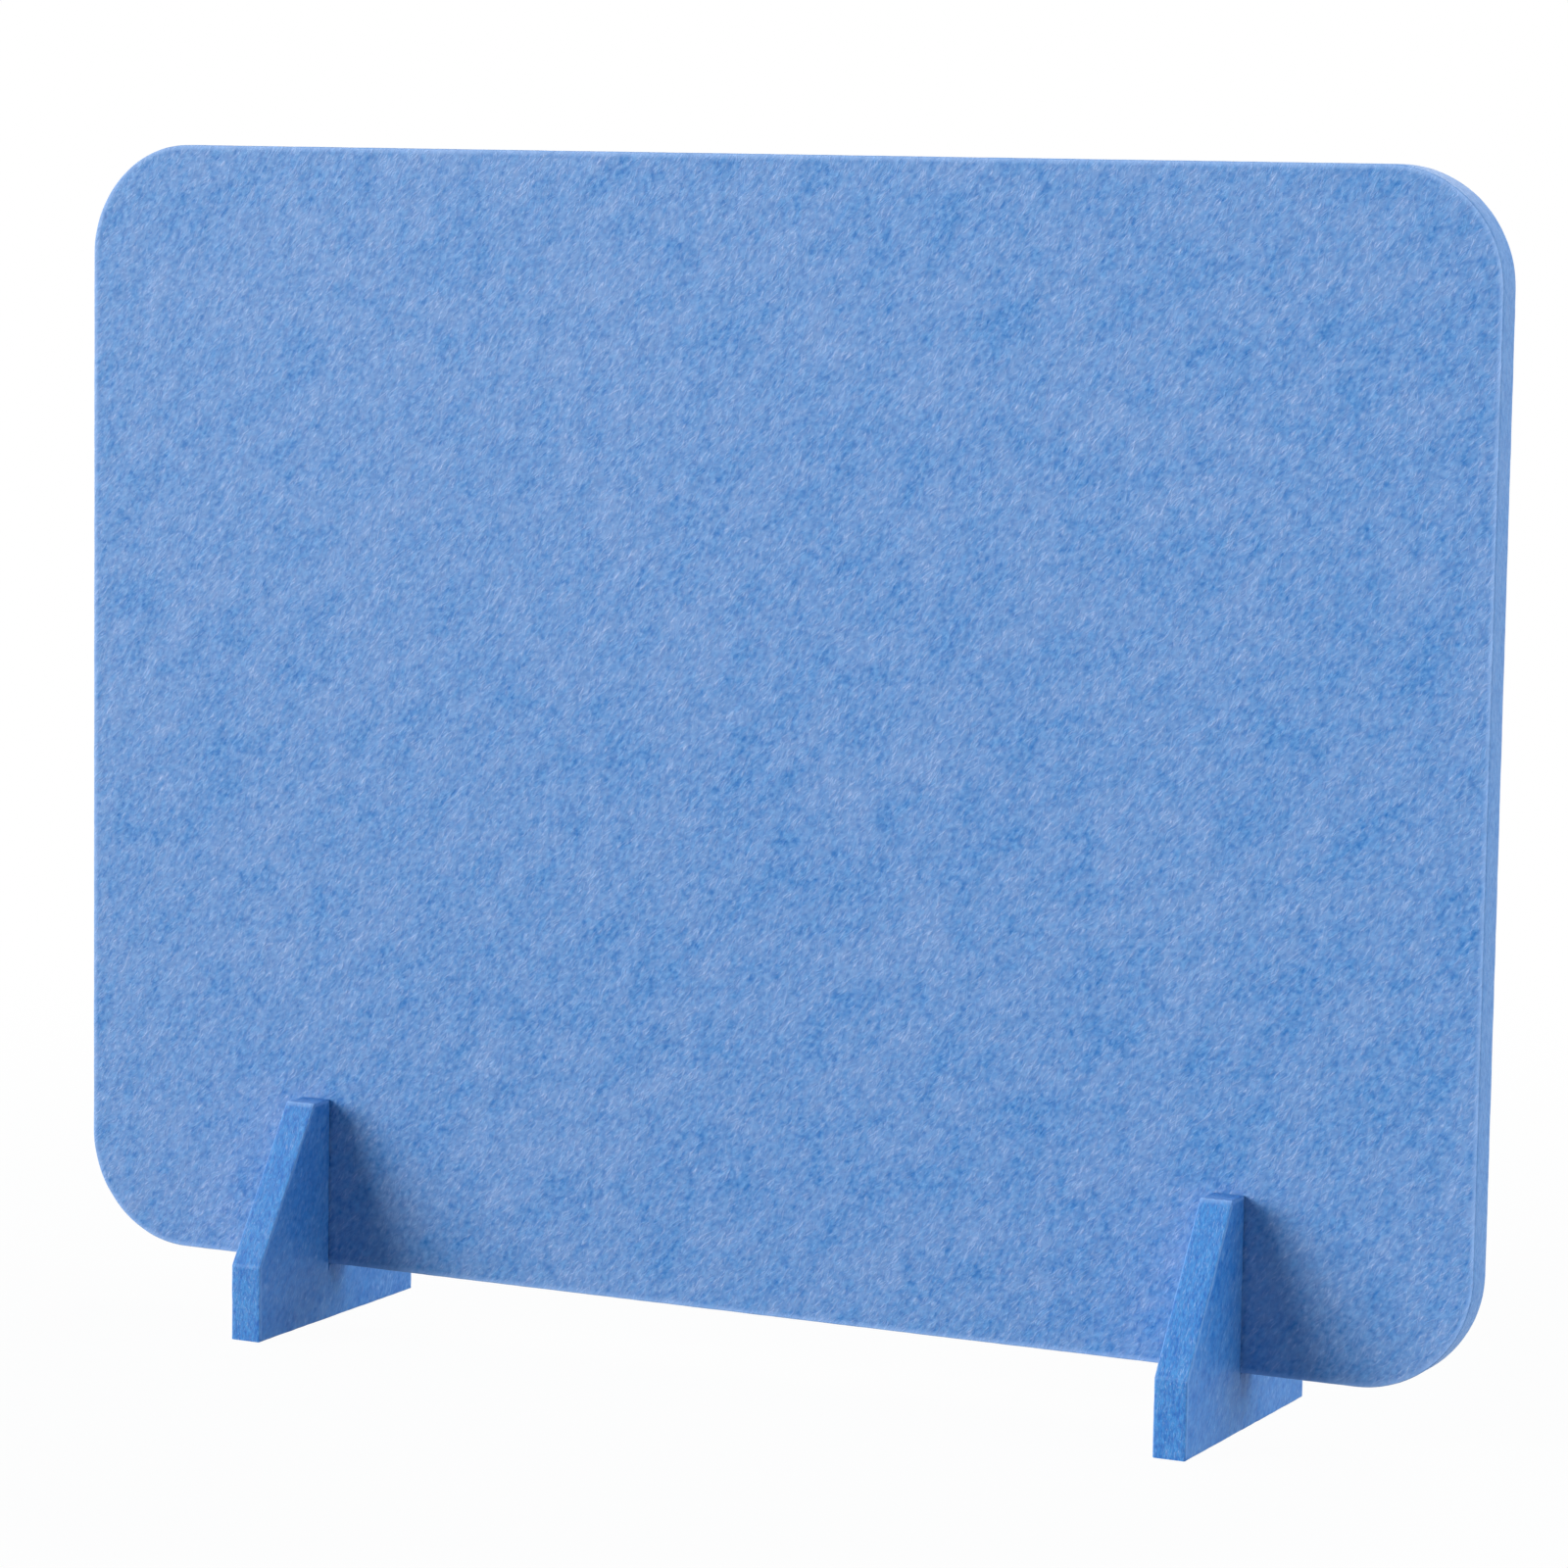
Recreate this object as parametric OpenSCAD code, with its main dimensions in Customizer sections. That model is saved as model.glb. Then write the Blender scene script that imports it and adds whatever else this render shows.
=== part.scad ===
// Desktop acoustic screen: a plain felt board with round corners that stands
// in two slotted feet cut from the same board.
// X runs along the panel, +Y to its back and +Z up. The origin is on the desk,
// under the middle of the panel.

/* [Felt board] */
// Thickness of the board that the panel and both feet are cut from
board_t = 9; // [6:0.5:15]

/* [Panel] */
// Width of the panel, end to end
panel_w = 400; // [250:10:1200]
// Height of the panel, bottom edge to top edge
panel_h = 300; // [200:10:600]
// Radius of the four corners
corner_r = 30; // [5:1:60]
// Height of the bottom edge above the desk
panel_rise = 15; // [8:1:30]

/* [Feet] */
// Depth of a foot, front to back
foot_depth = 80; // [50:1:160]
// Height of a foot
foot_h = 60; // [40:1:100]
// Height of the upright front and rear ends, below the slopes
foot_end_h = 20; // [5:1:35]
// Depth of the flat top, its slot included
foot_top_depth = 25; // [18:1:45]
// Distance from the panel's left end to the middle of the left foot
left_foot_inset = 71.5; // [40:0.5:110]
// Distance from the panel's right end to the middle of the right foot
right_foot_inset = 64.5; // [40:0.5:110]
// Gap between the panel and each wall of a foot's slot
slot_gap = 0.1; // [0.05:0.05:0.5]

/* [Hidden] */
// The slot is as wide as the board and its two gaps
slot_w = board_t + 2 * slot_gap;
// The slot is open at the top and ends where the panel's bottom edge rests
slot_depth = foot_h - panel_rise;
// The slot's cut runs this far past the foot's top
overrun = 1;
// Segments of each full circle
$fn = 96;

// The panel's outline, with its bottom edge on the X axis
module panel_outline() {
    straight_w = panel_w - 2 * corner_r;
    straight_h = panel_h - 2 * corner_r;
    translate([-straight_w / 2, 0]) square([straight_w, panel_h]);
    translate([-panel_w / 2, corner_r]) square([panel_w, straight_h]);
    for (x = [-straight_w / 2, straight_w / 2], z = [corner_r, corner_r + straight_h])
        translate([x, z]) circle(r = corner_r);
}

// A foot's outline: upright ends, slopes up to a flat top, and the slot
module foot_outline() {
    difference() {
        polygon([
            [-foot_depth / 2, 0],
            [foot_depth / 2, 0],
            [foot_depth / 2, foot_end_h],
            [foot_top_depth / 2, foot_h],
            [-foot_top_depth / 2, foot_h],
            [-foot_depth / 2, foot_end_h]
        ]);
        translate([-slot_w / 2, panel_rise]) square([slot_w, slot_depth + overrun]);
    }
}

// A foot square to the panel, with its middle plane at the given X
module foot(middle_x) {
    translate([middle_x - board_t / 2, 0, 0])
        rotate([90, 0, 90]) linear_extrude(board_t) foot_outline();
}

module panel() {
    color("#6796d7")
        translate([0, board_t / 2, panel_rise])
            rotate([90, 0, 0]) linear_extrude(board_t) panel_outline();
}

module left_foot() {
    color("#5f92d6") foot(left_foot_inset - panel_w / 2);
}

module right_foot() {
    color("#5f92d6") foot(panel_w / 2 - right_foot_inset);
}

panel();
left_foot();
right_foot();
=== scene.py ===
import math

import bpy
import numpy as np
from bpy.props import FloatProperty, FloatVectorProperty, IntProperty, PointerProperty
from mathutils import Matrix, Vector


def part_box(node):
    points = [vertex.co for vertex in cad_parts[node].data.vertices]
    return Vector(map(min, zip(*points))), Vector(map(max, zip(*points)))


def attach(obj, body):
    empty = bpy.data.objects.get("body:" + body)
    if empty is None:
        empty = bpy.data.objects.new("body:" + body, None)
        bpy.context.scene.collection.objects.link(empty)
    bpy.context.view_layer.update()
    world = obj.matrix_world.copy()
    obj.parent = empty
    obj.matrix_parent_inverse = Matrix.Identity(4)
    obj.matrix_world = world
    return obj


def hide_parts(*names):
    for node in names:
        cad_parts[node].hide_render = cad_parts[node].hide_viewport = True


bl_info = {
    "name": "Felt Desk Screen",
    "version": (1, 0, 0),
    "blender": (4, 5, 0),
    "location": "3D View > Sidebar > Felt Screen",
    "description": "Builds a desk screen of felt board on two slotted feet, and its stage",
    "category": "Object",
}

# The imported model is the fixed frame. Everything is in metres: X runs along the
# panel, +Y to its back and +Z up, and the desk is at Z = 0.
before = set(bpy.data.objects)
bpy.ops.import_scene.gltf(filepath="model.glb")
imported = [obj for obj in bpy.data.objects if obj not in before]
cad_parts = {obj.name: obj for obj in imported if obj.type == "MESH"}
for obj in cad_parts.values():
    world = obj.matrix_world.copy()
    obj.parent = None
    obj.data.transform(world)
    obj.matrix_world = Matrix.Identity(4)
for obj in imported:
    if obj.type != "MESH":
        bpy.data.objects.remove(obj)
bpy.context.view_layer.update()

# The feet's nodes
FEET = ("left_foot", "right_foot")

MM = 0.001


def linear(hex_colour):
    """An sRGB colour written as hex turned to linear red, green, blue and an alpha of 1.

    Up to 0.04045 a channel is divided by 12.92. Above, it is 0.055 more, over 1.055, to the
    power of 2.4."""
    value = np.array([int(hex_colour[i:i + 2], 16) for i in (1, 3, 5)]) / 255
    toe = value / 12.92
    curve = ((value + 0.055) / 1.055) ** 2.4
    return (*np.where(value <= 0.04045, toe, curve).tolist(), 1.0)


WHITE = linear("#ffffff")


def length_property(name, description, default):
    """A length in metres."""
    return FloatProperty(
        name=name, description=description, default=default, unit="LENGTH", precision=5
    )


def colour_property(name, description, hex_colour):
    """A linear colour with alpha whose default is written as sRGB hex."""
    return FloatVectorProperty(
        name=name, description=description, default=linear(hex_colour),
        subtype="COLOR", size=4, min=0, max=1,
    )


def level_property(name, description, default):
    """A level of light."""
    return FloatProperty(name=name, description=description, default=default, min=0)


class FeltScreenSizes(bpy.types.PropertyGroup):
    """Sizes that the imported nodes' boxes don't give"""

    corner_radius: length_property(
        "Corner radius", "Radius of the panel's four corners", 30 * MM
    )
    foot_end_height: length_property(
        "Foot end height", "Height of a foot's upright ends", 20 * MM
    )
    foot_top_depth: length_property(
        "Foot top depth", "Depth of a foot's flat top, slot included", 25 * MM
    )
    slot_gap: length_property(
        "Slot gap", "Gap between the panel and each wall of a slot", 0.1 * MM
    )
    knife_overrun: length_property(
        "Knife overrun", "How far the slot's side cuts run past its bottom", 1.8 * MM
    )
    knife_width: length_property(
        "Knife cut width", "Width of that overrun where it leaves the slot", 0.35 * MM
    )
    panel_arris: length_property(
        "Panel arris", "Radius of the rounding along the panel's cut edges", 0.35 * MM
    )
    panel_border: length_property(
        "Panel border", "Width over which the fuzz fades into the panel's faces", 1.2 * MM
    )
    foot_arris: length_property(
        "Foot arris", "Radius of the rounding along a foot's cut edges", 0.5 * MM
    )
    panel_cell: length_property(
        "Panel cell", "Spacing of the panel's mesh", 1.65 * MM
    )
    foot_cell: length_property(
        "Foot cell", "Spacing of a foot's mesh along its outline", 0.8 * MM
    )
    relief: length_property(
        "Relief", "Deepest hollow of the pressed felt below its flat faces", 0.16 * MM
    )
    seed: IntProperty(
        name="Seed", description="Starts the random relief of the felt", default=11
    )


class FeltScreenColours(bpy.types.PropertyGroup):
    """Colours of the felt and of the stage"""

    deep: colour_property(
        "Deep fibre", "Deep blue fibres of the heather mix", "#086ab3"
    )
    pale: colour_property(
        "Pale fibre", "Pale blue fibres of the heather mix", "#6098d0"
    )
    lilac: colour_property(
        "Lilac fibre", "Greyish lilac fibres, which lie in thin patches", "#889fca"
    )
    hair: colour_property(
        "Loose fibre", "Pale loose fibres on the faces", "#a6bce4"
    )
    pit: colour_property(
        "Needle pit", "Blue in the shade of the needle pits", "#1055a4"
    )
    # The cut edges' own deeper colour, and on the feet's faces painted shade
    cut: colour_property(
        "Cut edge", "Tint that deepens the feet, most of all on their cut edges", "#96e8ff"
    )
    # Pale fibre ends, and also a painted highlight on the arrises and a painted sheen on the panel's
    # edge
    fuzz_and_highlight: colour_property(
        "Fuzz", "Pale fibre ends that stand up along the edges", "#9abbea"
    )
    floor: colour_property(
        "Floor", "Paper of the floor, which the camera sees white", "#cccccc"
    )
    room: colour_property(
        "Room light", "Cool light from all round, which deepens the blue in the shade", "#88d0ff"
    )
    rim: colour_property(
        "Rim light", "Slightly cool light of the rim lamps", "#d6f1ff"
    )


class FeltScreenLight(bpy.types.PropertyGroup):
    """Levels of light, where 1 lights a face square to it so that its colour renders as written"""

    key: level_property("Key", "Soft light from the upper left, in front", 1.19)
    rim: level_property("Rim", "Soft light from the right and a little behind", 0.58)
    back: level_property("Back", "Soft light from behind, which edges the top corners", 0.4)
    room: level_property("Room", "Even light from all round", 0.17)


# Each board is a mesh in three parts: a grid for each face, and a strip round
# the outline that joins them and carries the rounded arrises and the cut edge.

# Steps of each rounded arris, and spacing of the strip across the cut edge
ARRIS_STEPS = 3
PANEL_EDGE_CELL = 1.2 * MM
FOOT_EDGE_CELL = 0.9 * MM

# A turn of the surface whose sine is this far below 0 still counts as 0
ROUNDING = 1e-9

# Least divisor of a mitre, so that the step at a narrow notch doesn't run away
LEAST_MITRE = 0.4

# Knots that steer a foot's grid round its slot: on the slot's wall, as shares of
# its height, and on the foot's base, in half slot widths from the middle
WALL_KNOTS = (0.27, 0.07)
BASE_KNOTS = (2.0, 1.4)


def rounded_side(length, radius, count):
    """One side of a rounded rectangle, from the middle of one corner's arc to that of the next.

    The points are evenly spaced along the line. Where the line turns through an angle t, it has
    moved along by radius * sin(t) and in by radius * (1 - cos(t)). Returns the place along the
    side, the distance in from the side's straight line, and the angle."""
    straight = length - 2 * radius
    reach = straight / 2 + radius * math.pi / 4
    run = np.linspace(-reach, reach, count + 1)
    angle = np.sign(run) * np.clip(np.abs(run) - straight / 2, 0, None) / radius
    along = np.clip(run, -straight / 2, straight / 2) + radius * np.sin(angle)
    return along, radius * (1 - np.cos(angle)), angle


def panel_sides(low, high, radius, cell):
    """The panel's outline in X and Z as four sides, each with its outward directions.

    Bottom and top run to +X, left and right run up, so that they border a grid. Where a side
    has turned by an angle t, outward is sin(t) along it and cos(t) away from the middle."""
    width, height = high[0] - low[0], high[1] - low[1]
    middle = (low + high) / 2
    arc = radius * math.pi / 2
    across = round((width - 2 * radius + arc) / cell)
    up = round((height - 2 * radius + arc) / cell)
    sides = []
    for count, length, axis, edge, sign in (
        (across, width, 0, low[1], -1),
        (across, width, 0, high[1], 1),
        (up, height, 1, low[0], -1),
        (up, height, 1, high[0], 1),
    ):
        along, inward, angle = rounded_side(length, radius, count)
        place = np.empty((count + 1, 2))
        place[:, axis] = middle[axis] + along
        place[:, 1 - axis] = edge - sign * inward
        outward = np.empty((count + 1, 2))
        outward[:, axis] = np.sin(angle)
        outward[:, 1 - axis] = sign * np.cos(angle)
        sides.append((place, outward))
    return sides


def coons_grid(bottom, top, left, right):
    """A Coons patch between four border lines.

    A point is the blend of bottom and top by v, plus the blend of left and right by u, less the
    blend of the four corners by both."""
    v = np.linspace(0, 1, len(left))[:, None, None]
    u = np.linspace(0, 1, len(bottom))[None, :, None]
    corners = (
        (1 - v) * ((1 - u) * bottom[0] + u * bottom[-1])
        + v * ((1 - u) * top[0] + u * top[-1])
    )
    return (
        (1 - v) * bottom[None] + v * top[None]
        + (1 - u) * left[:, None] + u * right[:, None]
        - corners
    )


def mitres(corners):
    """The outward step at each corner of a closed polygon, anticlockwise, for an offset of one.

    It is the sum of the normals of the two edges that meet there, over one plus their product."""
    edge = np.roll(corners, -1, axis=0) - corners
    normal = np.stack([edge[:, 1], -edge[:, 0]], axis=1) / np.linalg.norm(edge, axis=1)[:, None]
    before = np.roll(normal, 1, axis=0)
    divisor = np.clip(1 + (before * normal).sum(1), LEAST_MITRE, None)
    return (before + normal) / divisor[:, None]


def spaced(knots, counts):
    """Points along a line of knots: the span after knot i is cut into counts[i] even steps."""
    steps = [
        a + (b - a) * np.arange(n)[:, None] / n
        for a, b, n in zip(knots[:-1], knots[1:], counts)
    ]
    return np.concatenate([*steps, knots[-1:]])


def foot_sides(low, high, slot_half, slot_floor, sizes):
    """A foot's outline in Y and Z as the four borders of a grid that bends round the slot like a U.

    The bottom border is the outer line from the front prong's top round to the rear prong's top,
    the top border is the slot's line between the same ends, and the left and right borders are
    the two flat tops. Each knot of one border faces a knot of the other. The knots of the
    overrun and of the slot's floor face points of the base a little further out, so that no two
    grid lines cross."""
    wall_height = high[1] - slot_floor
    outer_front = [
        (-sizes.foot_top_depth / 2, high[1]),
        (low[0], low[1] + sizes.foot_end_height),
        (low[0], low[1]),
        *((-share * slot_half, low[1]) for share in BASE_KNOTS),
    ]
    slot_front = [
        (-slot_half, high[1]),
        *((-slot_half, slot_floor + share * wall_height) for share in WALL_KNOTS),
        (-slot_half, slot_floor - sizes.knife_overrun),
        (-slot_half + sizes.knife_width, slot_floor),
    ]
    outer, slot = (
        np.array([*line, *((-y, z) for y, z in line[::-1])])
        for line in (outer_front, slot_front)
    )
    spans = np.linalg.norm(np.diff(outer, axis=0), axis=1)
    counts = np.ceil(spans / sizes.foot_cell).astype(int)
    across = round((high[0] - slot_half) / sizes.foot_cell)
    step = mitres(np.concatenate([outer, slot[::-1]]))
    outer_step, slot_step = step[:len(outer)], step[len(outer):][::-1]
    borders = [
        (spaced(line, counts), spaced(away, counts))
        for line, away in ((outer, outer_step), (slot, slot_step))
    ]
    for end in (0, -1):
        line = np.stack([outer[end], slot[end]])
        away = np.stack([outer_step[end], slot_step[end]])
        borders.append((spaced(line, [across]), spaced(away, [across])))
    return borders


def strip_profile(thickness, radius, border, edge_steps):
    """The section of the strip, as offsets from the outline and places through the thickness.

    A flat border, where there is one, leads to a quarter circle of the given radius that turns
    from the front face to the edge: at an angle t the offset is radius * (sin(t) - 1), and the
    place is radius * (1 - cos(t)) behind the face. A straight part crosses the edge, and the
    same follows in reverse to the back face."""
    turn = np.linspace(0, math.pi / 2, ARRIS_STEPS + 1)
    half = thickness / 2
    offset = radius * (np.sin(turn) - 1)
    through = radius * (1 - np.cos(turn)) - half
    if border:
        offset = np.concatenate([[-radius - border], offset])
        through = np.concatenate([[-half], through])
    straight = np.linspace(through[-1], -through[-1], edge_steps + 1)[1:-1]
    offsets = np.concatenate([offset, np.zeros(edge_steps - 1), offset[::-1]])
    return offsets, np.concatenate([through, straight, -through[::-1]])


def board_mesh(borders, thickness, radius, border, edge_cell):
    """Vertices, quads and the cut and rim marks of a board.

    Each face is a Coons patch inside the outline that is set in by the arris radius and the flat
    border, and the strip joins the two faces. A vertex is (across, through, up) on the board.
    Where the surface turns by an angle t from the face towards the edge, cut is
    1 + offset / radius, which is sin(t), and rim is cos(t). Both are 0 inside the flat border."""
    face = coons_grid(*(line - (radius + border) * away for line, away in borders))
    rows, columns = face.shape[:2]
    index = np.arange(rows * columns).reshape(rows, columns)
    ring = np.concatenate([index[0, :-1], index[:-1, -1], index[-1, :0:-1], index[:0:-1, 0]])
    loop, away = (
        np.concatenate([bottom[:-1], right[:-1], top[:0:-1], left[:0:-1]])
        for bottom, top, left, right in zip(*borders)
    )
    offset, through = strip_profile(thickness, radius, border, round(thickness / edge_cell))
    inner = slice(1, -1)
    strip = loop[None] + offset[inner, None, None] * away[None]
    middle = np.broadcast_to(through[inner, None], strip.shape[:2])
    half = thickness / 2
    flat = face.reshape(-1, 2)
    vertices = np.concatenate([
        np.stack([flat[:, 0], np.full(len(flat), -half), flat[:, 1]], axis=1),
        np.stack([strip[..., 0], middle, strip[..., 1]], axis=2).reshape(-1, 3),
        np.stack([flat[:, 0], np.full(len(flat), half), flat[:, 1]], axis=1),
    ])
    strip_index = len(flat) + np.arange(middle.size).reshape(middle.shape)
    back_start = len(flat) + strip_index.size
    back = index + back_start
    bands = np.concatenate([ring[None], strip_index, (ring + back_start)[None]])
    following = np.roll(bands, -1, axis=1)
    # Front face, strip and back face, each wound so that it faces outwards
    quads = np.concatenate([
        np.stack(corners, axis=2).reshape(-1, 4)
        for corners in (
            (index[:-1, :-1], index[:-1, 1:], index[1:, 1:], index[1:, :-1]),
            (bands[:-1], bands[1:], following[1:], following[:-1]),
            (back[:-1, :-1], back[1:, :-1], back[1:, 1:], back[:-1, 1:]),
        )
    ])
    sine = 1 + offset / radius
    cut = np.zeros(len(vertices))
    rim = np.zeros(len(vertices))
    cut[bands] = np.clip(sine, 0, 1)[:, None]
    rim[bands] = np.where(sine > -ROUNDING, np.sqrt(np.clip(1 - sine ** 2, 0, 1)), 0)[:, None]
    return vertices, quads, cut, rim


# The relief of the pressed felt: how many waves it sums, the length of the
# shortest in metres and that of the longest over it, the lay of the fibres in
# degrees above the sheet's width, the spread of the waves round the line across
# that lay in radians, and their spread through the board.
RELIEF_WAVES = 140
SHORTEST_WAVE = 4 * MM
WAVE_RANGE = 4
FIBRE_LAY = 60
LAY_SPREAD = 0.9
THROUGH_SPREAD = 0.5

# Share of the relief that the cut edges lack
CUT_SMOOTHING = 0.6

# Edges that turn by more degrees than this are shaded sharp
SHARP_ANGLE = 42

# Attributes that the material reads besides the place in the sheet: the amounts
# of the deeper colour, which on the feet's faces is painted shade, and of the
# fuzz with its painted highlight and sheen, and the contrast of the heather
MARKS = ("cut", "fuzz_and_highlight", "mottle")


def felt_relief(sheet, seed):
    """How hollow the pressed felt is at each point of a board, from 0 to 1.

    It is a sum of random cosine waves in the sheet, which run mostly across the lay of the
    fibres, squeezed by a hyperbolic tangent. A wave's height goes with the root of its length."""
    random = np.random.default_rng(seed)
    wave = SHORTEST_WAVE * WAVE_RANGE ** random.random(RELIEF_WAVES)
    heading = math.radians(FIBRE_LAY + 90) + random.normal(0, LAY_SPREAD, RELIEF_WAVES)
    through = random.normal(0, THROUGH_SPREAD, RELIEF_WAVES)
    rate = 2 * math.pi / wave
    vector = np.stack([rate * np.cos(heading), rate * through, rate * np.sin(heading)], axis=1)
    size = np.sqrt(wave / wave.mean())
    phase = random.uniform(0, 2 * math.pi, RELIEF_WAVES)
    total = np.zeros(len(sheet))
    for k in range(RELIEF_WAVES):
        total += size[k] * np.cos(sheet @ vector[k] + phase[k])
    return 0.5 + 0.5 * np.tanh(total / math.sqrt((size ** 2).sum()))


def felt_piece(name, vertices, quads, sheet, depth, marks):
    """Makes the mesh object of a board whose vertices each sink by a depth along their normal.

    The relief only sinks them, so no point stands proud of the CAD model. The sheet attribute
    keeps each vertex's place in the uncut felt sheet."""
    mesh = bpy.data.meshes.new(name)
    mesh.vertices.add(len(vertices))
    mesh.loops.add(quads.size)
    mesh.polygons.add(len(quads))
    mesh.vertices.foreach_set("co", vertices.astype(np.float32).ravel())
    mesh.loops.foreach_set("vertex_index", quads.astype(np.int32).ravel())
    mesh.polygons.foreach_set("loop_start", np.arange(0, quads.size, 4, dtype=np.int32))
    mesh.update(calc_edges=True)
    normal = np.empty(len(vertices) * 3, np.float32)
    mesh.vertex_normals.foreach_get("vector", normal)
    sunk = vertices - normal.reshape(-1, 3) * depth[:, None]
    mesh.vertices.foreach_set("co", sunk.astype(np.float32).ravel())
    place = mesh.attributes.new("sheet", "FLOAT_VECTOR", "POINT")
    place.data.foreach_set("vector", sheet.astype(np.float32).ravel())
    for mark, values in zip(MARKS, marks):
        amount = mesh.attributes.new(mark, "FLOAT", "POINT")
        amount.data.foreach_set("value", values.astype(np.float32))
    mesh.polygons.foreach_set("use_smooth", np.ones(len(quads), bool))
    mesh.update()
    mesh.set_sharp_from_angle(angle=math.radians(SHARP_ANGLE))
    mesh.validate()
    mesh.materials.append(needled_felt_material())
    piece = bpy.data.objects.new(name, mesh)
    bpy.context.scene.collection.objects.link(piece)
    return piece


# The heather pattern: three rows for its soft patches and three for its grain.
# Each row: lay of the fibres in degrees above the sheet's width, length and
# width of a fleck in millimetres, and its shares in the lilac patches, in the
# mix of deep and pale fibre, and in the relief. Staple fibre is about 0.03 mm
# thick, which is too fine to show, so the grain stands for locks of fibres and
# is drawn 1.1 to 1.3 mm wide.
FLECKS = (
    (35, 20.0, 13.0, 0.4, 0.0, 0.0),
    (50, 9.0, 6.0, 0.45, 0.2, 0.0),
    (55, 4.6, 2.8, 0.0, 0.6, 0.0),
    (57, 2.3, 1.2, 0.0, 1.8, 0.5),
    (10, 1.6, 1.1, 0.0, 1.45, 0.5),
    (55, 2.4, 1.3, 0.8, 0.0, 0.0),
)

# Size of a fleck through the board, as a share of its width
FLECK_FLATNESS = 0.6

# Each noise is moved on by this much from the one before, in metres, so that no
# two are alike
NOISE_STEP = (0.13, 0.07, 0.11)

# Middle of a noise's levels, and the even mix of deep and pale fibre
NOISE_MIDDLE = 0.5
EVEN_MIX = 0.5

# Mean cover of the lilac patches
LILAC_SHOWS = 0.25

# Loose pale fibres, drawn 0.42 mm wide for the same reason as the flecks: lay,
# length and width of each set, the noise levels between which a fibre fades in,
# and how much of their colour shows in the thick of the lilac patches, where
# they gather.
HAIRS = (
    (58, 2.4, 0.42),
    (38, 2.0, 0.42),
    (80, 2.0, 0.42),
)
HAIR_LEVELS = (0.62, 0.78)
HAIR_SHOWS = 0.8

# The barbed needles leave small pits: spacing and width in millimetres, and
# how much of the shade in them shows.
PIT_SPACING = 2.6
PIT_WIDTH = 1.2
PIT_SHOWS = 0.12

# Strength of the fine relief, its depth in millimetres at a level of 1, and the
# shares of the loose fibres, which stand up, and of the pits, which are hollow
RELIEF_STRENGTH = 0.3
RELIEF_DEPTH = 0.4
HAIR_RELIEF = 0.25
PIT_RELIEF = -0.3

# Matt, with the faint sheen of polyester fibres
FELT_ROUGHNESS = 0.55
FELT_SPECULAR = 0.5

# Sockets of a Mix node that mixes colours
MIX_A = 6
MIX_B = 7
MIX_RESULT = 2


def add_node(tree, kind, settings=None, values=None, links=None):
    """Adds a node with its settings, the values of its sockets, and links from other outputs.

    A socket is given by its name or its number."""
    node = tree.nodes.new(kind)
    for name, value in (settings or {}).items():
        setattr(node, name, value)
    for socket, value in (values or {}).items():
        node.inputs[socket].default_value = value
    for socket, output in (links or {}).items():
        tree.links.new(output, node.inputs[socket])
    return node


def sheet_noise(tree, sheet, lay, length, width, number, detail):
    """Noise in the sheet whose flecks have a length along the lay and a width across it, in mm."""
    place = add_node(
        tree, "ShaderNodeMapping", {"vector_type": "TEXTURE"},
        {
            "Location": [step * number for step in NOISE_STEP],
            "Rotation": (0, -math.radians(lay), 0),
            "Scale": (length * MM, width * FLECK_FLATNESS * MM, width * MM),
        },
        {"Vector": sheet},
    )
    return add_node(
        tree, "ShaderNodeTexNoise", None,
        {"Scale": 1.0, "Detail": detail, "Roughness": 0.5},
        {"Vector": place.outputs["Vector"]},
    ).outputs["Fac"]


def weighted_sum(tree, terms):
    """The sum of each level times its share."""
    total = None
    for level, share in terms:
        links = {0: level, 2: total} if total else {0: level}
        total = add_node(
            tree, "ShaderNodeMath", {"operation": "MULTIPLY_ADD"}, {1: share, 2: 0.0}, links
        ).outputs[0]
    return total


def fleck_terms(tree, sheet):
    """The flecks' levels with their shares in the lilac, in the fibre mix and in the relief."""
    terms = [], [], []
    for number, (lay, length, width, *shares) in enumerate(FLECKS):
        fleck = sheet_noise(tree, sheet, lay, length, width, number, detail=1.0)
        level = add_node(
            tree, "ShaderNodeMath", {"operation": "SUBTRACT"}, {1: NOISE_MIDDLE}, {0: fleck}
        ).outputs[0]
        for kept, share in zip(terms, shares):
            if share:
                kept.append((level, share))
    return terms


def loose_fibres(tree, sheet):
    """How thick the loose fibres lie: the sum of thin streaks where each set's noise is high."""
    strands = []
    for number, (lay, length, width) in enumerate(HAIRS, start=len(FLECKS)):
        streak = sheet_noise(tree, sheet, lay, length, width, number, detail=0.0)
        strands.append(add_node(
            tree, "ShaderNodeMapRange", {"interpolation_type": "SMOOTHSTEP"},
            {"From Min": HAIR_LEVELS[0], "From Max": HAIR_LEVELS[1]}, {"Value": streak},
        ).outputs["Result"])
    return weighted_sum(tree, [(strand, 1.0) for strand in strands])


def needle_pits(tree, sheet):
    """1 in the middle of each needle pit, fading to 0 at half its width."""
    distance = add_node(
        tree, "ShaderNodeTexVoronoi", {"feature": "F1"},
        {"Scale": 1 / (PIT_SPACING * MM)}, {"Vector": sheet},
    ).outputs["Distance"]
    return add_node(
        tree, "ShaderNodeMapRange", {"interpolation_type": "SMOOTHSTEP"},
        {"From Min": PIT_WIDTH / PIT_SPACING / 2, "From Max": 0.0}, {"Value": distance},
    ).outputs["Result"]


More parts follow.
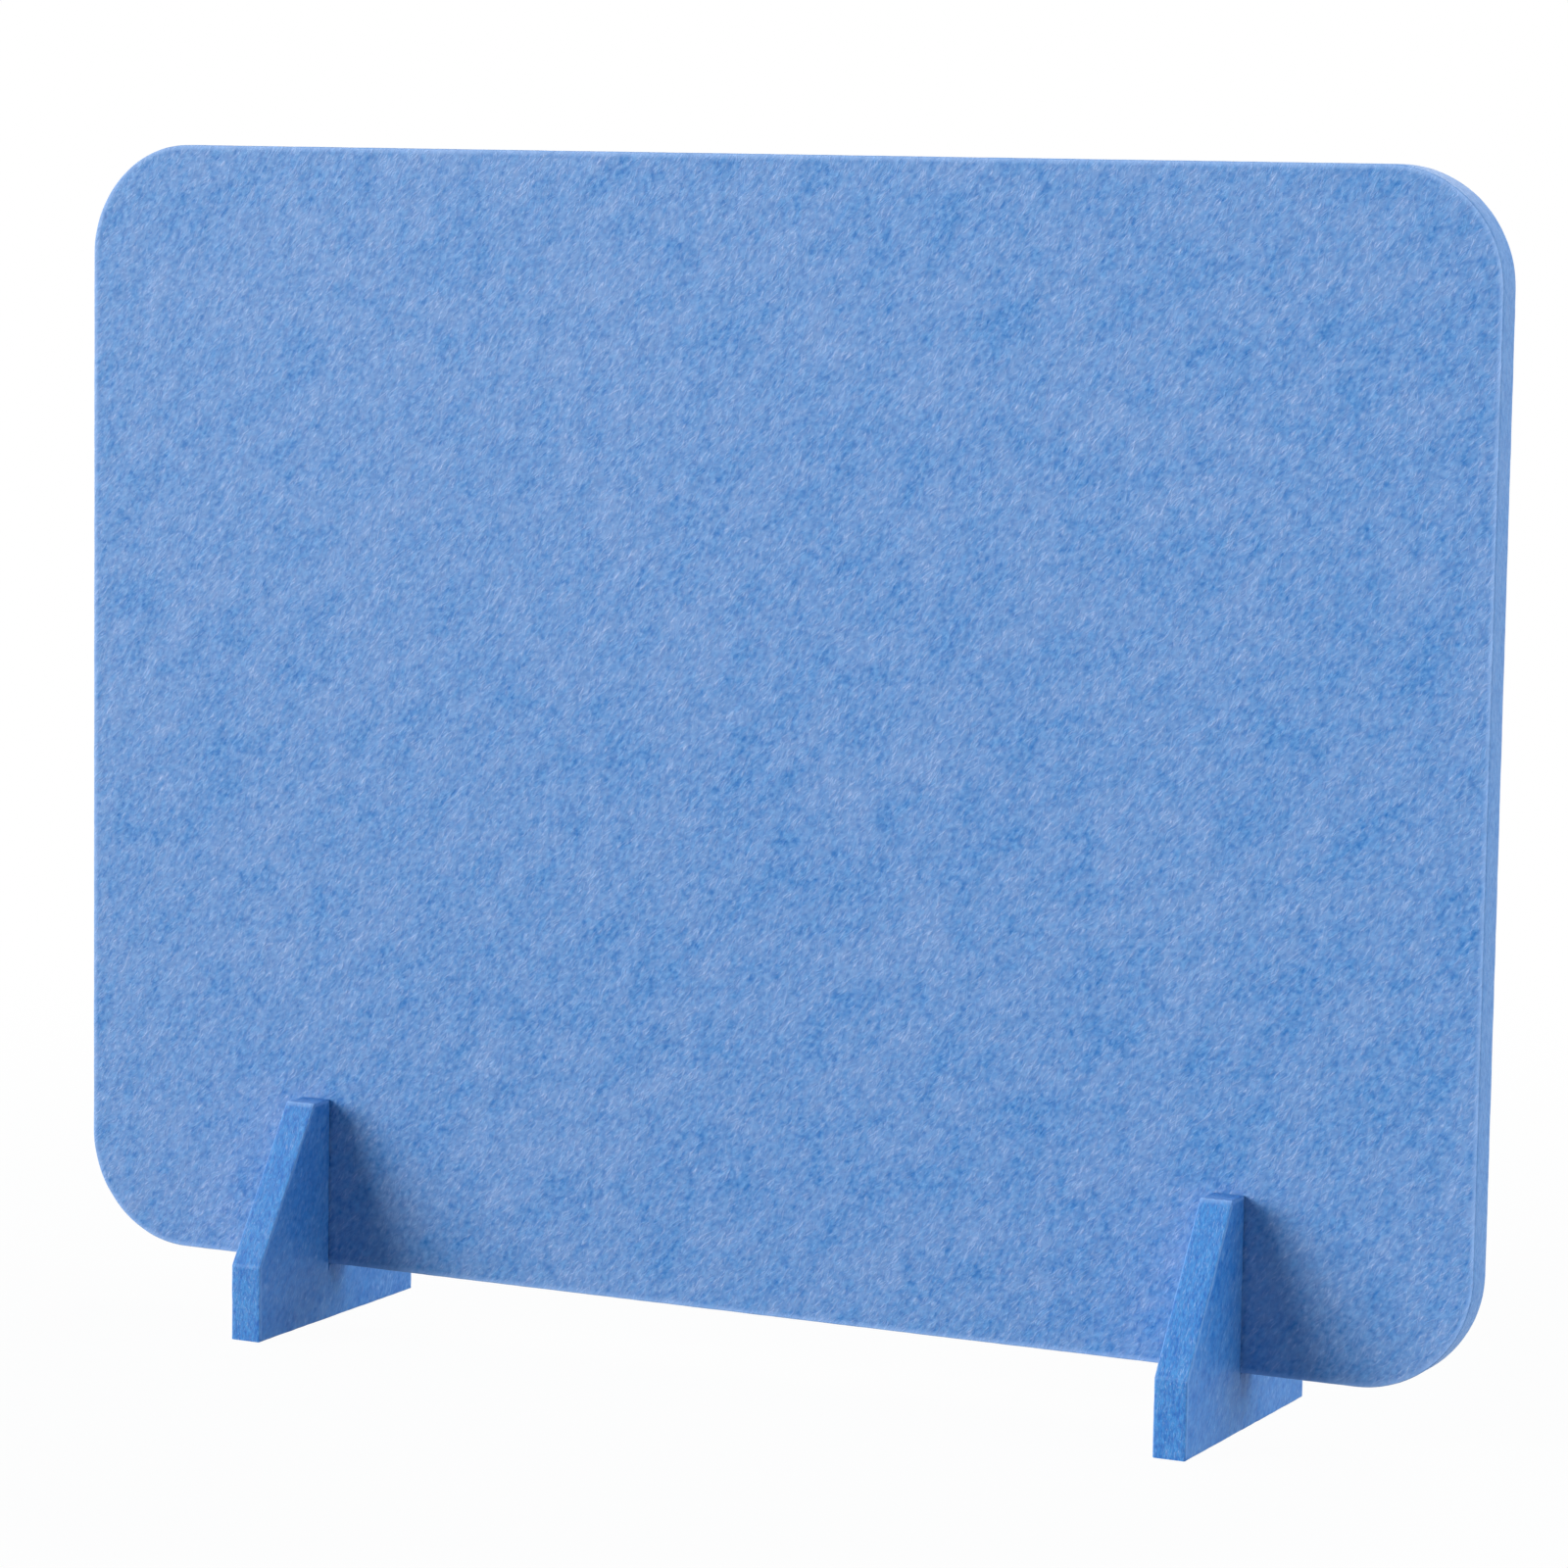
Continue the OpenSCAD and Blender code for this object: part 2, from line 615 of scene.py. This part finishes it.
def needled_felt_material():
    """Needle-punched and pressed polyester felt board, solution dyed in blue heather.

    The faces are pressed flat and matt, with locks of pale and deep fibres that all lie roughly
    one way, loose pale fibres over them and the pits of the needles. The feet are deeper in
    colour, most of all on their cut edges, and on their faces that deeper colour is painted
    shade. The arrises carry a pale fuzz that the knife lifted, which is partly a painted
    highlight."""
    found = bpy.data.materials.get("needled_felt")
    if found:
        return found
    colours = bpy.context.scene.felt_screen_colours
    material = bpy.data.materials.new("needled_felt")
    material.use_nodes = True
    tree = material.node_tree
    tree.nodes.clear()
    sheet = add_node(tree, "ShaderNodeAttribute", {"attribute_name": "sheet"}).outputs["Vector"]
    cut, fuzz_and_highlight, mottle = (
        add_node(tree, "ShaderNodeAttribute", {"attribute_name": mark}).outputs["Fac"]
        for mark in MARKS
    )
    lilac_terms, mix_terms, relief_terms = fleck_terms(tree, sheet)
    hair = loose_fibres(tree, sheet)
    pit = needle_pits(tree, sheet)
    cover = add_node(
        tree, "ShaderNodeMath", {"operation": "ADD"},
        {1: LILAC_SHOWS}, {0: weighted_sum(tree, lilac_terms)},
    ).outputs[0]
    tone = add_node(
        tree, "ShaderNodeMath", {"operation": "MULTIPLY_ADD"},
        {2: EVEN_MIX}, {0: weighted_sum(tree, mix_terms), 1: mottle},
    ).outputs[0]
    gathered = add_node(
        tree, "ShaderNodeMath", {"operation": "MULTIPLY", "use_clamp": True},
        {1: HAIR_SHOWS}, {0: cover},
    ).outputs[0]
    hair_amount = add_node(
        tree, "ShaderNodeMath", {"operation": "MULTIPLY"}, None, {0: hair, 1: gathered}
    ).outputs[0]
    pit_amount = add_node(
        tree, "ShaderNodeMath", {"operation": "MULTIPLY"}, {1: PIT_SHOWS}, {0: pit}
    ).outputs[0]
    # Layers over the deep fibre: how each is laid on, how much of it shows, and its colour
    layers = (
        ("MIX", tone, colours.pale),
        ("MIX", cover, colours.lilac),
        ("MIX", pit_amount, colours.pit),
        # Deeper colour of the cut edges, and painted shade on the feet's faces
        ("MULTIPLY", cut, colours.cut),
        ("MIX", hair_amount, colours.hair),
        # Pale fuzz, partly a painted highlight and a painted sheen
        ("MIX", fuzz_and_highlight, colours.fuzz_and_highlight),
    )
    felt_colour = None
    for blend, amount, colour in layers:
        links = {0: amount, MIX_A: felt_colour} if felt_colour else {0: amount}
        felt_colour = add_node(
            tree, "ShaderNodeMix", {"data_type": "RGBA", "blend_type": blend},
            {MIX_A: colours.deep, MIX_B: colour}, links,
        ).outputs[MIX_RESULT]
    relief = weighted_sum(tree, [*relief_terms, (hair, HAIR_RELIEF), (pit, PIT_RELIEF)])
    bump = add_node(
        tree, "ShaderNodeBump", None,
        {"Strength": RELIEF_STRENGTH, "Distance": RELIEF_DEPTH * MM}, {"Height": relief},
    ).outputs["Normal"]
    felt = add_node(
        tree, "ShaderNodeBsdfPrincipled", None,
        {"Roughness": FELT_ROUGHNESS, "Specular IOR Level": FELT_SPECULAR},
        {"Base Color": felt_colour, "Normal": bump},
    ).outputs["BSDF"]
    add_node(tree, "ShaderNodeOutputMaterial", None, None, {"Surface": felt})
    return material


# Near the object the camera sees this share of plain white on the floor, and
# the rest is lit paper that keeps the shadow. Between these two distances from
# the middle, in metres, the share rises to all.
GLOW_NEAR = 0.97
SHADOW_REACH = (0.2, 0.8)

# Half the width of the floor in metres
FLOOR_REACH = 30.0


def white_rays(tree):
    """1 for the rays that are to see plain white: from the camera, glossy and transmitted."""
    path = add_node(tree, "ShaderNodeLightPath").outputs
    seen = path["Is Camera Ray"]
    for kind in ("Is Glossy Ray", "Is Transmission Ray"):
        seen = add_node(
            tree, "ShaderNodeMath", {"operation": "MAXIMUM"}, None, {0: seen, 1: path[kind]}
        ).outputs[0]
    return seen


def studio_paper_material():
    """Matt studio paper that shows white to the camera and keeps a soft trace of shadow.

    The share of plain white goes from GLOW_NEAR to 1 by a smooth step of the distance from the
    middle."""
    material = bpy.data.materials.new("white_studio_paper")
    material.use_nodes = True
    tree = material.node_tree
    tree.nodes.clear()
    colour = bpy.context.scene.felt_screen_colours.floor
    paper = add_node(tree, "ShaderNodeBsdfDiffuse", None, {"Color": colour}).outputs[0]
    glow = add_node(
        tree, "ShaderNodeEmission", None, {"Color": WHITE, "Strength": 1.0}
    ).outputs[0]
    place = add_node(tree, "ShaderNodeTexCoord").outputs["Object"]
    away = add_node(
        tree, "ShaderNodeVectorMath", {"operation": "LENGTH"}, None, {0: place}
    ).outputs["Value"]
    share = add_node(
        tree, "ShaderNodeMapRange", {"interpolation_type": "SMOOTHSTEP"},
        {
            "From Min": SHADOW_REACH[0],
            "From Max": SHADOW_REACH[1],
            "To Min": GLOW_NEAR,
            "To Max": 1.0,
        },
        {"Value": away},
    ).outputs["Result"]
    amount = add_node(
        tree, "ShaderNodeMath", {"operation": "MULTIPLY"}, None, {0: white_rays(tree), 1: share}
    ).outputs[0]
    mixed = add_node(
        tree, "ShaderNodeMixShader", None, None, {0: amount, 1: paper, 2: glow}
    ).outputs[0]
    add_node(tree, "ShaderNodeOutputMaterial", None, None, {"Surface": mixed})
    return material


def white_room_world(strength):
    """Even cool light from all round, and a white backdrop for the camera and in reflections."""
    world = bpy.data.worlds.new("white_room")
    world.use_nodes = True
    tree = world.node_tree
    tree.nodes.clear()
    colour = bpy.context.scene.felt_screen_colours.room
    room, backdrop = (
        add_node(tree, "ShaderNodeBackground", None, {"Color": tint, "Strength": level}).outputs[0]
        for tint, level in ((colour, strength), (WHITE, 1.0))
    )
    mixed = add_node(
        tree, "ShaderNodeMixShader", None, None, {0: white_rays(tree), 1: room, 2: backdrop}
    ).outputs[0]
    add_node(tree, "ShaderNodeOutputWorld", None, None, {"Surface": mixed})
    bpy.context.scene.world = world


def add_floor():
    """Adds a square of studio paper at the height of the desk, as part of the stage."""
    reach = FLOOR_REACH
    corners = [(-reach, -reach, 0), (reach, -reach, 0), (reach, reach, 0), (-reach, reach, 0)]
    mesh = bpy.data.meshes.new("floor")
    mesh.from_pydata(corners, [], [(0, 1, 2, 3)])
    mesh.materials.append(studio_paper_material())
    floor = bpy.data.objects.new("floor", mesh)
    bpy.context.scene.collection.objects.link(floor)


# The lamps: name, setting that scales them, share of that setting, azimuth
# from -Y towards +X and elevation in degrees. Each shines as evenly as a soft
# box far off that covers LAMP_SPREAD degrees of the sky.
LAMPS = (
    ("key_lamp", "key", 0.52, -46, 22),
    ("key_lamp_low", "key", 0.48, -60, 10),
    ("rim_lamp", "rim", 0.53, 90, 25),
    ("rim_lamp_back", "rim", 0.47, 105, 18),
    ("back_lamp", "back", 1.0, 180, 45),
)
LAMP_SPREAD = 26

# How far off the lamps are drawn in metres, which doesn't change their light
LAMP_DISTANCE = 2.0


def add_lamp(name, level, colour, azimuth, elevation):
    """A far soft box that shines on the object from an azimuth and an elevation in degrees.

    Its strength is pi times the level, as a matt face returns 1 / pi of the light that it gets."""
    lamp = bpy.data.lights.new(name, "SUN")
    lamp.color = colour[:3]
    lamp.energy = math.pi * level
    lamp.angle = math.radians(LAMP_SPREAD)
    turn, rise = math.radians(azimuth), math.radians(elevation)
    away = Vector((
        math.sin(turn) * math.cos(rise),
        -math.cos(turn) * math.cos(rise),
        math.sin(rise),
    ))
    holder = bpy.data.objects.new(name, lamp)
    holder.location = away * LAMP_DISTANCE
    holder.rotation_euler = (-away).to_track_quat("-Z", "Y").to_euler()
    bpy.context.scene.collection.objects.link(holder)


# The camera that gives the photograph's view, found by fitting the outline's
# straight edges and corners: focal length in pixels of a 1600 pixel frame,
# place in metres, and yaw, pitch and roll in degrees.
PICTURE_SIZE = 1600
FOCAL_PIXELS = 5524.0
CAMERA_PLACE = (0.6182, -1.2438, 0.3154)
CAMERA_YAW = 26.115
CAMERA_PITCH = 6.652
CAMERA_ROLL = 0.890
SENSOR_MM = 36


def camera_matrix():
    """The camera's world matrix.

    It is turned by yaw about Z, tipped down by pitch and rolled about its line of view."""
    yaw, pitch, roll = (math.radians(a) for a in (CAMERA_YAW, CAMERA_PITCH, CAMERA_ROLL))
    level = Vector((-math.sin(yaw), math.cos(yaw), 0))
    right = Vector((math.cos(yaw), math.sin(yaw), 0))
    up = Vector((0, 0, 1))
    ahead = math.cos(pitch) * level - math.sin(pitch) * up
    above = math.sin(pitch) * level + math.cos(pitch) * up
    x_axis = math.cos(roll) * right + math.sin(roll) * above
    y_axis = -math.sin(roll) * right + math.cos(roll) * above
    turn = Matrix((x_axis, y_axis, -ahead)).transposed().to_4x4()
    return Matrix.Translation(CAMERA_PLACE) @ turn


def add_camera(scene):
    """Adds the camera and makes it the scene's."""
    data = bpy.data.cameras.new("camera")
    data.sensor_width = SENSOR_MM
    data.lens = FOCAL_PIXELS / PICTURE_SIZE * SENSOR_MM
    camera = bpy.data.objects.new("camera", data)
    camera.matrix_world = camera_matrix()
    scene.collection.objects.link(camera)
    scene.camera = camera


class FELT_OT_add_stage(bpy.types.Operator):
    """Adds the white floor and room, the lamps and the camera"""

    bl_idname = "felt_screen.add_stage"
    bl_label = "Add Stage"

    def execute(self, context):
        scene = context.scene
        light = scene.felt_screen_light
        scene.view_settings.view_transform = "Standard"
        add_camera(scene)
        add_floor()
        white_room_world(light.room)
        for name, setting, share, azimuth, elevation in LAMPS:
            colour = scene.felt_screen_colours.rim if setting == "rim" else WHITE
            add_lamp(name, getattr(light, setting) * share, colour, azimuth, elevation)
        return {"FINISHED"}


# Contrast of the heather on the panel's faces, on the feet's faces, which are the
# same board, lowered to the flat look of their shaded sides, and on the cut edges,
# where the fibres show end on
PANEL_MOTTLE = 1.0
FOOT_MOTTLE = 0.7
CUT_MOTTLE = 1.3

# Share of the cut edges' deeper colour that the feet's faces take: painted shade,
# which stands for the deep blue of the shade on their sides
FOOT_FACE_PAINTED_SHADE = 0.6

# How much of the pale fuzz shows on the arrises of the panel and of the feet, on the
# panel's trimmed edge, and across the corner where a foot's slope ends. Besides the
# fuzz, it is painted light: a painted highlight on the arrises and across the feet's
# top corners, and a painted sheen on the panel's trimmed edge. The last one fades
# over a band of the first width on the slope and of the second on the flat top.
PANEL_ARRIS_FUZZ_AND_HIGHLIGHT = 0.6
FOOT_ARRIS_FUZZ_AND_HIGHLIGHT = 0.45
# Painted sheen over the fuzz of the panel's trimmed edge
PANEL_EDGE_FUZZ_AND_SHEEN = 0.25
# Painted highlight across the corner where a foot's slope meets its flat top
FOOT_CORNER_HIGHLIGHT = 0.6
FOOT_CORNER_BAND = 1.6 * MM
FOOT_TOP_BAND = 6 * MM

# The feet's fuzz and painted highlight are left off this close to the panel and to
# the desk, where contact shade falls
CONTACT_SHADE_BAND = 0.8 * MM

# Where the left foot was cut from the sheet, in metres from the panel's place,
# and how much further on the right foot was
FOOT_SHEET_PLACE = np.array((0.7, 0.05, 0.4))
FOOT_SHEET_STEP = np.array((0.3, 0, 0))


def sink_depth(sheet, cut, sizes):
    """How far each vertex sinks: the relief's depth, less CUT_SMOOTHING of it on a cut edge."""
    return sizes.relief * felt_relief(sheet, sizes.seed) * (1 - CUT_SMOOTHING * cut)


def foot_fuzz_and_highlight(board, low, high, slot_half, top_half, cut, rim):
    """How much fuzz and painted highlight shows at each vertex of a foot.

    It lies on the arrises, and on the cut edge near the corners of the flat top, where it
    fades as 1 less the distance over the band's width. Close to the panel and to the desk,
    where contact shade falls, there is none."""
    out, up = np.abs(board[:, 0]), board[:, 2] - low[2]
    distance = np.hypot(out - top_half, board[:, 2] - high[2])
    width = np.where(out < top_half, FOOT_TOP_BAND, FOOT_CORNER_BAND)
    band = np.clip(1 - distance / width, 0, 1)
    # Clear of the contact shade along the panel and the desk
    clear_of_contact = (out > slot_half + CONTACT_SHADE_BAND) & (up > CONTACT_SHADE_BAND)
    return clear_of_contact * np.maximum(FOOT_ARRIS_FUZZ_AND_HIGHLIGHT * rim, FOOT_CORNER_HIGHLIGHT * band * cut)


class FELT_OT_add_panel(bpy.types.Operator):
    """Adds the panel, a felt board with four round corners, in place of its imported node"""

    bl_idname = "felt_screen.add_panel"
    bl_label = "Add Panel"

    def execute(self, context):
        sizes = context.scene.felt_screen_sizes
        low, high = (np.array(corner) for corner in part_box("panel"))
        borders = panel_sides(low[[0, 2]], high[[0, 2]], sizes.corner_radius, sizes.panel_cell)
        vertices, quads, cut, rim = board_mesh(
            borders, high[1] - low[1], sizes.panel_arris, sizes.panel_border, PANEL_EDGE_CELL
        )
        vertices[:, 1] += (low[1] + high[1]) / 2
        # The panel's trimmed edge has the colour of its faces
        deeper = np.zeros(len(vertices))
        # Pale fuzz with a painted highlight on the arrises and a painted sheen on the trimmed edge
        fuzz_and_highlight = np.maximum(PANEL_EDGE_FUZZ_AND_SHEEN * cut, PANEL_ARRIS_FUZZ_AND_HIGHLIGHT * rim)
        mottle = PANEL_MOTTLE + (CUT_MOTTLE - PANEL_MOTTLE) * cut
        depth = sink_depth(vertices, cut, sizes)
        piece = felt_piece("felt_panel", vertices, quads, vertices, depth, (deeper, fuzz_and_highlight, mottle))
        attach(piece, "panel")
        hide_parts("panel")
        return {"FINISHED"}


class FELT_OT_add_feet(bpy.types.Operator):
    """Adds the two slotted feet, which stand square to the panel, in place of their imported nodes"""

    bl_idname = "felt_screen.add_feet"
    bl_label = "Add Feet"

    def execute(self, context):
        sizes = context.scene.felt_screen_sizes
        panel_low, panel_high = (np.array(corner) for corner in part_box("panel"))
        slot_half = (panel_high[1] - panel_low[1]) / 2 + sizes.slot_gap
        top_half = sizes.foot_top_depth / 2
        for number, node in enumerate(FEET):
            low, high = (np.array(corner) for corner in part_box(node))
            borders = foot_sides(low[1:], high[1:], slot_half, panel_low[2], sizes)
            board, quads, cut, rim = board_mesh(
                borders, high[0] - low[0], sizes.foot_arris, 0, FOOT_EDGE_CELL
            )
            # The board is laid out in Y, X and Z, so its through direction is turned round to
            # keep it right-handed
            middle = (low[0] + high[0]) / 2
            vertices = np.stack([middle - board[:, 1], board[:, 0], board[:, 2]], axis=1)
            sheet = board + (FOOT_SHEET_PLACE + number * FOOT_SHEET_STEP)
            # Deeper colour on the cut edges and painted shade on the faces, then the fuzz with its
            # painted highlight
            deeper = np.maximum(cut, FOOT_FACE_PAINTED_SHADE)
            fuzz_and_highlight = foot_fuzz_and_highlight(board, low, high, slot_half, top_half, cut, rim)
            mottle = FOOT_MOTTLE + (CUT_MOTTLE - FOOT_MOTTLE) * cut
            depth = sink_depth(sheet, cut, sizes)
            marks = (deeper, fuzz_and_highlight, mottle)
            piece = felt_piece(f"felt_{node}", vertices, quads, sheet, depth, marks)
            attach(piece, node)
            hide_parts(node)
        return {"FINISHED"}


class FELT_PT_screen(bpy.types.Panel):
    """The screen's sizes, colours and light, and the buttons that build it"""

    bl_idname = "FELT_PT_screen"
    bl_label = "Felt Screen"
    bl_space_type = "VIEW_3D"
    bl_region_type = "UI"
    bl_category = "Felt Screen"

    def draw(self, context):
        for group in GROUPS:
            settings = getattr(context.scene, group)
            box = self.layout.box()
            for name in settings.__annotations__:
                box.prop(settings, name)
        for operator in OPERATORS:
            self.layout.operator(operator.bl_idname)


OPERATORS = (FELT_OT_add_stage, FELT_OT_add_panel, FELT_OT_add_feet)
GROUPS = {
    "felt_screen_sizes": FeltScreenSizes,
    "felt_screen_colours": FeltScreenColours,
    "felt_screen_light": FeltScreenLight,
}


def register():
    """Registers the settings, the operators and the panel."""
    for made in (*GROUPS.values(), *OPERATORS, FELT_PT_screen):
        bpy.utils.register_class(made)
    for name, group in GROUPS.items():
        setattr(bpy.types.Scene, name, PointerProperty(type=group))


def unregister():
    """Takes away what register added, in reverse order."""
    for name in reversed(GROUPS):
        delattr(bpy.types.Scene, name)
    for made in reversed((*GROUPS.values(), *OPERATORS, FELT_PT_screen)):
        bpy.utils.unregister_class(made)


def main():
    register()
    bpy.ops.felt_screen.add_stage()
    bpy.ops.felt_screen.add_panel()
    bpy.ops.felt_screen.add_feet()


if __name__ == "__main__":
    main()
